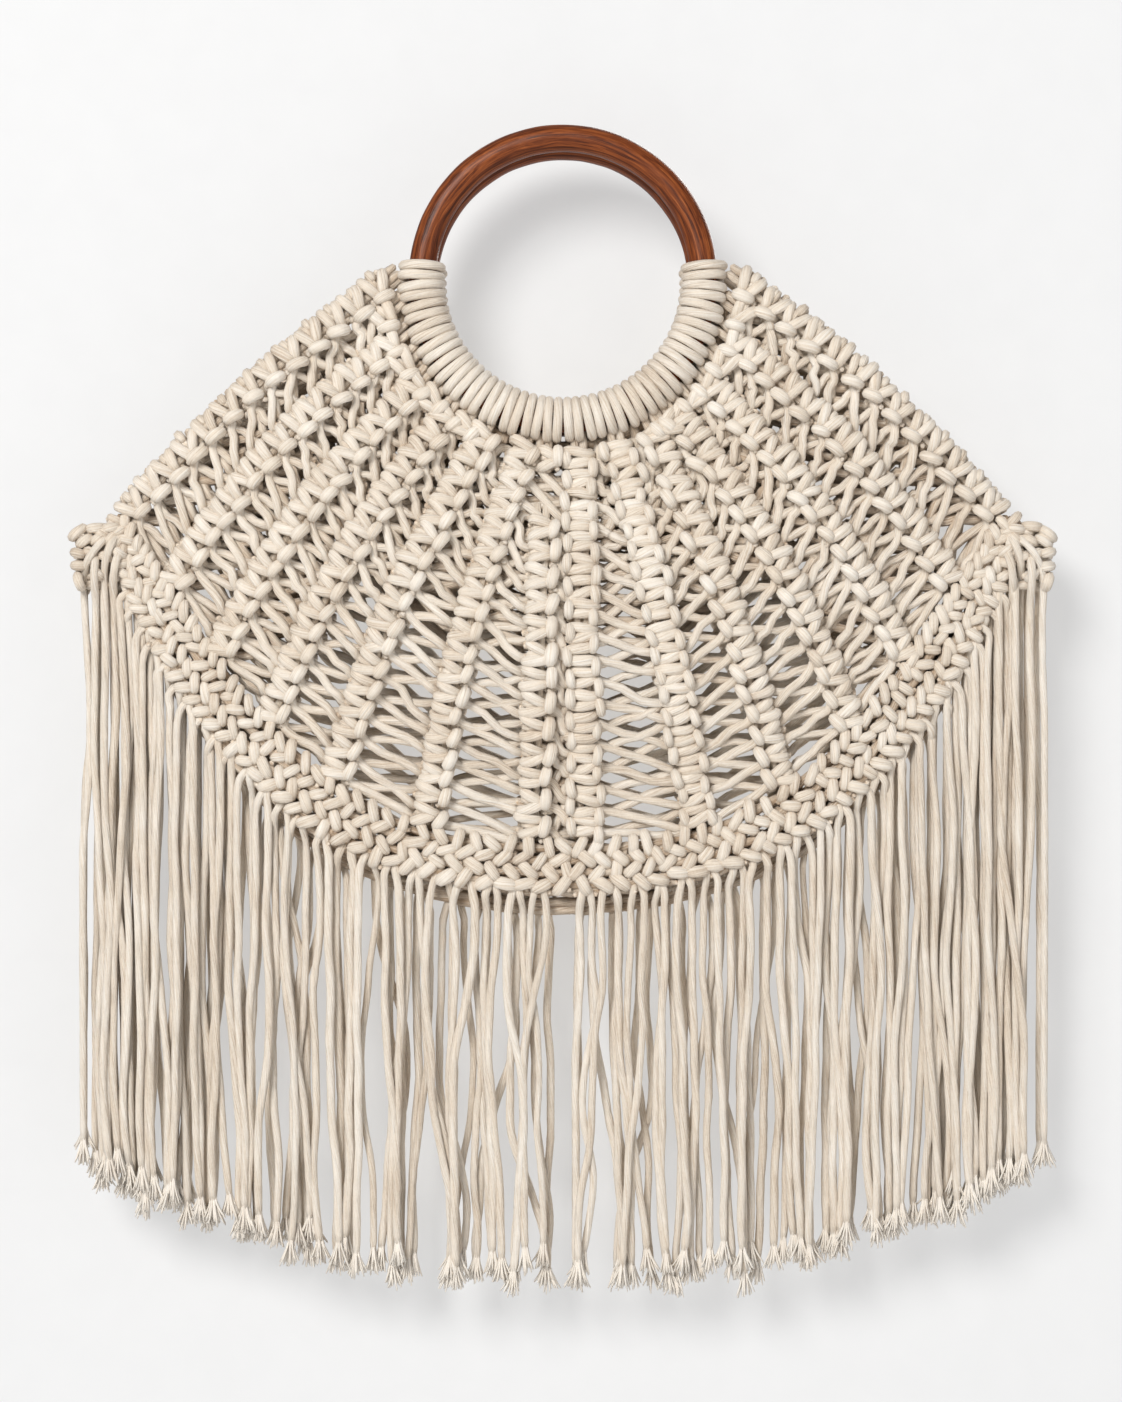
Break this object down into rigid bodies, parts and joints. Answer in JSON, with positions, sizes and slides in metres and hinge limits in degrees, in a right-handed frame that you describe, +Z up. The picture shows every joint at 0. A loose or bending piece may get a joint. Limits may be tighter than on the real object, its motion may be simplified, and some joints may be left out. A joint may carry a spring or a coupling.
{
  "type": "knotted fringe handbag",
  "caption": "Fan-shaped handbag of knotted cotton cord with round wooden handles, an open pouch of square knots, a plaited border and a long cut fringe, hanging by its handles.",
  "frame": {"origin": "where a peg carries the hanging bag: under the top of both handles, midway between them and midway across the bag", "axes": "+Z up, +X to the right seen from the front, -Y out of the front panel"},
  "size_m": [0.4298, 0.0546, 0.517],
  "materials": {
    "wood": "gloss varnish",
    "cotton_cord": "matte twisted cotton"
  },
  "bodies": {
    "root": {"front_ring": "wood", "back_ring": "wood", "front_wrap": "cotton_cord", "back_wrap": "cotton_cord", "front_net": "cotton_cord", "back_net": "cotton_cord", "front_border": "cotton_cord", "back_border": "cotton_cord", "left_corner": "cotton_cord", "right_corner": "cotton_cord", "front_fringe": "cotton_cord", "back_fringe": "cotton_cord"}
  },
  "joints": []
}
